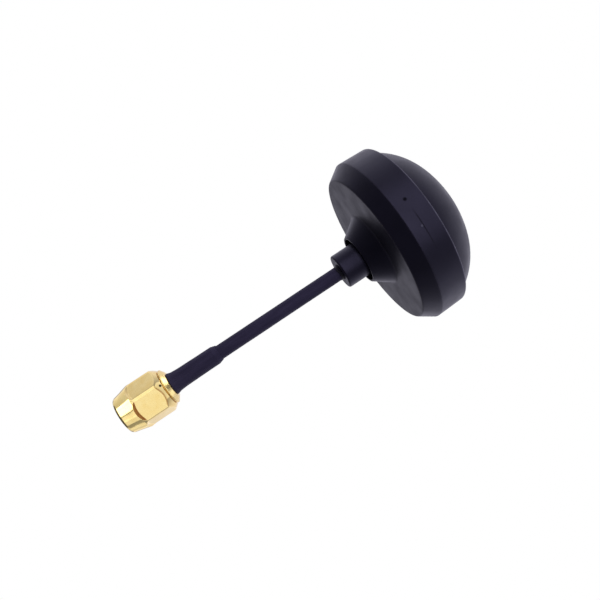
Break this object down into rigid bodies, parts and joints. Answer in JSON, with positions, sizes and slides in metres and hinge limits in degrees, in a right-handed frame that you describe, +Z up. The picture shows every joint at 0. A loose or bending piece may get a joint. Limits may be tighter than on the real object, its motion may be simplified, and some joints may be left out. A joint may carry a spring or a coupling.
{
  "type": "mushroom antenna",
  "caption": "Small circularly polarised antenna: bent-wire lobes under a domed round radome, on a stiff coaxial stem with a gold hexagonal screw-on plug.",
  "frame": {"origin": "on the axis, in the plug's reference plane, at the inner end of the coupling nut's thread", "axes": "+Z up the stem to the top of the dome; +X square to one flat of the coupling nut"},
  "size_m": [0.0344, 0.0344, 0.0728],
  "materials": {
    "gold_plating": "bright gold plating over turned brass, with fine tool marks",
    "radome_plastic": "satin black moulded plastic with a fine grain",
    "collar_plastic": "satin black plastic",
    "heat_shrink": "matt black shrink tubing",
    "ptfe": "waxy white",
    "silicone": "matt red-brown",
    "copper": "drawn copper wire and tube, slightly oxidised",
    "solder": "dull bright solder",
    "spring_bronze": "plain spring bronze",
    "adhesive": "set black adhesive"
  },
  "bodies": {
    "antenna": {"connector_body": "gold_plating", "rear_ferrule": "gold_plating", "centre_contact": "gold_plating", "contact_insulator": "ptfe", "coax_dielectric": "ptfe", "face_gasket": "silicone", "coax_core": "copper", "coax_shield": "copper", "lobe_1": "copper", "lobe_2": "copper", "lobe_3": "copper", "lobe_4": "copper", "core_solder": "solder", "shield_solder": "solder", "ferrule_solder": "solder", "cable_sleeve": "heat_shrink", "connector_boot": "heat_shrink", "neck_collar": "collar_plastic", "collar_adhesive": "adhesive", "radome_tray": "radome_plastic", "radome_cap": "radome_plastic"},
    "retaining_ring": {"retaining_ring": "spring_bronze"},
    "coupling_nut": {"coupling_nut": "gold_plating"}
  },
  "joints": [
    {"name": "nut_float", "type": "slide", "parent": "antenna", "child": "retaining_ring", "axis": [0, 0, 1], "range_m": [-0.00012, 0.00012]},
    {"name": "nut_spin", "type": "hinge", "parent": "retaining_ring", "child": "coupling_nut", "pos_m": [0, 0, 0], "axis": [0, 0, 1], "continuous": true}
  ]
}
